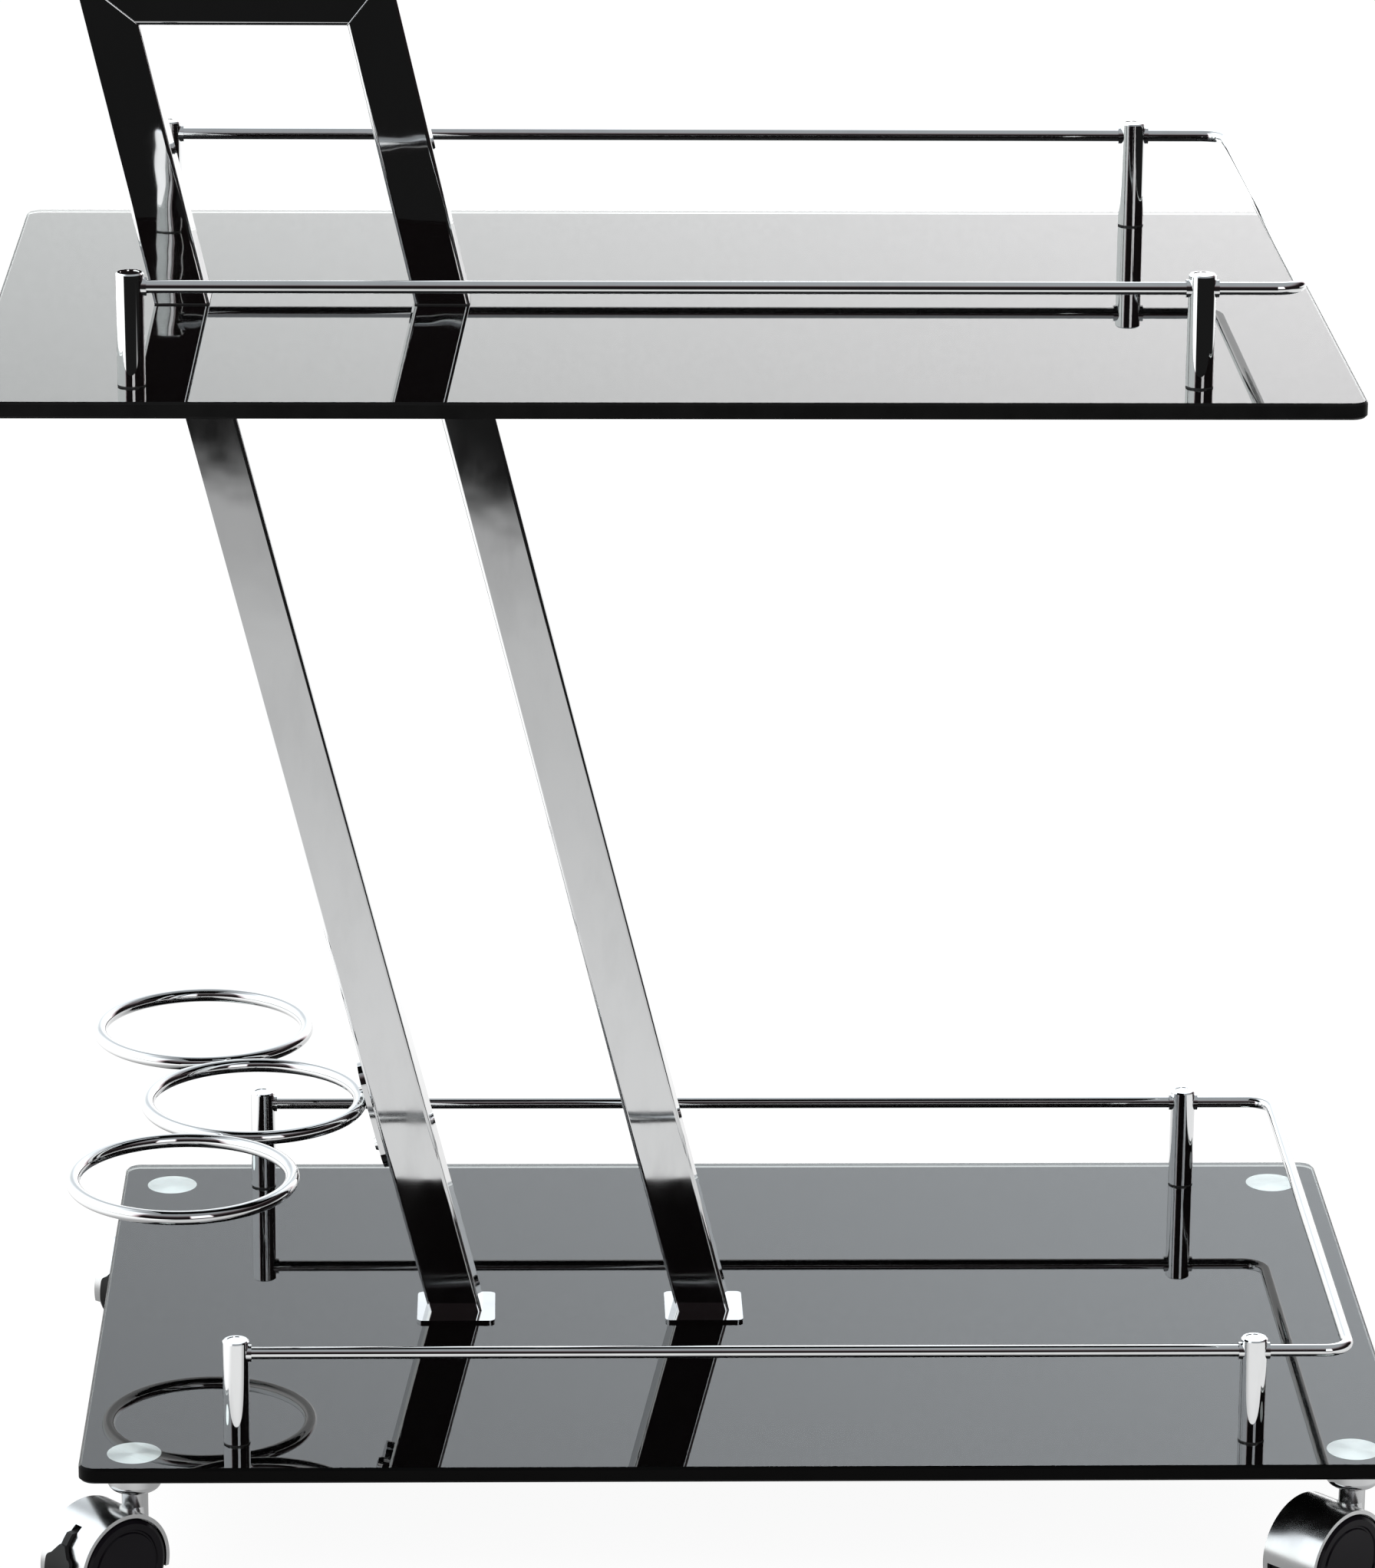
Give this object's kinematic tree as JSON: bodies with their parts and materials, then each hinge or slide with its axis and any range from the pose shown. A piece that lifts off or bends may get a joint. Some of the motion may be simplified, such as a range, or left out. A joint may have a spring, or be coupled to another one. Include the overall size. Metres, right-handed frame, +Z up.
{
  "type": "service cart",
  "caption": "Serving cart with black glass shelves offset on leaning chrome legs, a push handle, tray rails, bottle rings and hooded casters.",
  "frame": {"origin": "on the floor, under the middle of the whole cart as its casters stand", "axes": "+X along the length, away from the handle end; +Y to the back; +Z up"},
  "size_m": [0.692, 0.4378, 0.7748],
  "materials": {
    "black_glass": "polished float glass, painted black underneath",
    "polished_tube": "mirror chrome",
    "polished_plate": "mirror chrome",
    "polished_rod": "mirror chrome",
    "polished_post": "mirror chrome",
    "ring_rod": "mirror chrome",
    "bright_screw": "mirror chrome",
    "mounting_disc": "chrome with a spun face",
    "hood_chrome": "mirror chrome",
    "wheel_plastic": "smooth moulded",
    "pedal_plastic": "fine texture",
    "black_gasket": "matt",
    "plain_steel": "zinc plated"
  },
  "bodies": {
    "frame": {"top_glass_shelf": "black_glass", "bottom_glass_shelf": "black_glass", "handle_left_leg": "polished_tube", "handle_right_leg": "polished_tube", "handle_top_bar": "polished_tube", "lower_left_leg": "polished_tube", "lower_right_leg": "polished_tube", "left_base_plate": "polished_plate", "right_base_plate": "polished_plate", "leg_end_plates": "plain_steel", "leg_gaskets": "black_gasket", "leg_studs": "plain_steel", "leg_bolts": "plain_steel", "leg_bolt_washers": "black_gasket", "leg_weld_nuts": "plain_steel", "top_rail": "polished_rod", "bottom_rail": "polished_rod", "top_front_left_post": "polished_post", "top_front_right_post": "polished_post", "top_back_left_post": "polished_post", "top_back_right_post": "polished_post", "bottom_front_left_post": "polished_post", "bottom_front_right_post": "polished_post", "bottom_back_left_post": "polished_post", "bottom_back_right_post": "polished_post", "rail_post_gaskets": "black_gasket", "rail_post_washers": "plain_steel", "rail_post_screws": "plain_steel", "rear_bottle_ring": "ring_rod", "middle_bottle_ring": "ring_rod", "front_bottle_ring": "ring_rod", "ring_bracket": "polished_plate", "ring_bracket_screws": "bright_screw", "caster_swivel_washers": "black_gasket", "front_left_caster_mount": "mounting_disc", "front_right_caster_mount": "mounting_disc", "back_left_caster_mount": "mounting_disc", "back_right_caster_mount": "mounting_disc"},
    "front_left_swivel": {"front_left_caster_hood": "hood_chrome", "front_left_caster_stem": "plain_steel", "front_left_caster_axle": "plain_steel"},
    "front_left_outer_wheel": {"front_left_outer_wheel": "wheel_plastic"},
    "front_left_inner_wheel": {"front_left_inner_wheel": "wheel_plastic"},
    "front_left_brake": {"front_left_brake_pedal": "pedal_plastic"},
    "front_right_swivel": {"front_right_caster_hood": "hood_chrome", "front_right_caster_stem": "plain_steel", "front_right_caster_axle": "plain_steel"},
    "front_right_outer_wheel": {"front_right_outer_wheel": "wheel_plastic"},
    "front_right_inner_wheel": {"front_right_inner_wheel": "wheel_plastic"},
    "back_left_swivel": {"back_left_caster_hood": "hood_chrome", "back_left_caster_stem": "plain_steel", "back_left_caster_axle": "plain_steel"},
    "back_left_outer_wheel": {"back_left_outer_wheel": "wheel_plastic"},
    "back_left_inner_wheel": {"back_left_inner_wheel": "wheel_plastic"},
    "back_left_brake": {"back_left_brake_pedal": "pedal_plastic"},
    "back_right_swivel": {"back_right_caster_hood": "hood_chrome", "back_right_caster_stem": "plain_steel", "back_right_caster_axle": "plain_steel"},
    "back_right_outer_wheel": {"back_right_outer_wheel": "wheel_plastic"},
    "back_right_inner_wheel": {"back_right_inner_wheel": "wheel_plastic"}
  },
  "joints": [
    {"name": "front_left_swivel_turn", "type": "hinge", "parent": "frame", "child": "front_left_swivel", "pos_m": [-0.278, -0.1751, 0.0575], "axis": [0, 0, 1], "continuous": true},
    {"name": "front_left_outer_wheel_spin", "type": "hinge", "parent": "front_left_swivel", "child": "front_left_outer_wheel", "pos_m": [-0.29226, -0.1884, 0.025], "axis": [0.682, -0.7314, 0], "continuous": true},
    {"name": "front_left_inner_wheel_spin", "type": "hinge", "parent": "front_left_swivel", "child": "front_left_inner_wheel", "pos_m": [-0.29226, -0.1884, 0.025], "axis": [0.682, -0.7314, 0], "continuous": true},
    {"name": "front_left_brake_press", "type": "hinge", "parent": "front_left_swivel", "child": "front_left_brake", "pos_m": [-0.30104, -0.19658, 0.028], "axis": [0.682, -0.7314, 0], "range_deg": [0, 10]},
    {"name": "front_right_swivel_turn", "type": "hinge", "parent": "frame", "child": "front_right_swivel", "pos_m": [0.32, -0.1751, 0.0575], "axis": [0, 0, 1], "continuous": true},
    {"name": "front_right_outer_wheel_spin", "type": "hinge", "parent": "front_right_swivel", "child": "front_right_outer_wheel", "pos_m": [0.30574, -0.1884, 0.025], "axis": [0.682, -0.7314, 0], "continuous": true},
    {"name": "front_right_inner_wheel_spin", "type": "hinge", "parent": "front_right_swivel", "child": "front_right_inner_wheel", "pos_m": [0.30574, -0.1884, 0.025], "axis": [0.682, -0.7314, 0], "continuous": true},
    {"name": "back_left_swivel_turn", "type": "hinge", "parent": "frame", "child": "back_left_swivel", "pos_m": [-0.278, 0.1929, 0.0575], "axis": [0, 0, 1], "continuous": true},
    {"name": "back_left_outer_wheel_spin", "type": "hinge", "parent": "back_left_swivel", "child": "back_left_outer_wheel", "pos_m": [-0.29001, 0.17754, 0.025], "axis": [0.788, -0.6157, 0], "continuous": true},
    {"name": "back_left_inner_wheel_spin", "type": "hinge", "parent": "back_left_swivel", "child": "back_left_inner_wheel", "pos_m": [-0.29001, 0.17754, 0.025], "axis": [0.788, -0.6157, 0], "continuous": true},
    {"name": "back_left_brake_press", "type": "hinge", "parent": "back_left_swivel", "child": "back_left_brake", "pos_m": [-0.29739, 0.16808, 0.028], "axis": [0.788, -0.6157, 0], "range_deg": [0, 10]},
    {"name": "back_right_swivel_turn", "type": "hinge", "parent": "frame", "child": "back_right_swivel", "pos_m": [0.32, 0.1929, 0.0575], "axis": [0, 0, 1], "continuous": true},
    {"name": "back_right_outer_wheel_spin", "type": "hinge", "parent": "back_right_swivel", "child": "back_right_outer_wheel", "pos_m": [0.30574, 0.1796, 0.025], "axis": [0.682, -0.7314, 0], "continuous": true},
    {"name": "back_right_inner_wheel_spin", "type": "hinge", "parent": "back_right_swivel", "child": "back_right_inner_wheel", "pos_m": [0.30574, 0.1796, 0.025], "axis": [0.682, -0.7314, 0], "continuous": true}
  ]
}
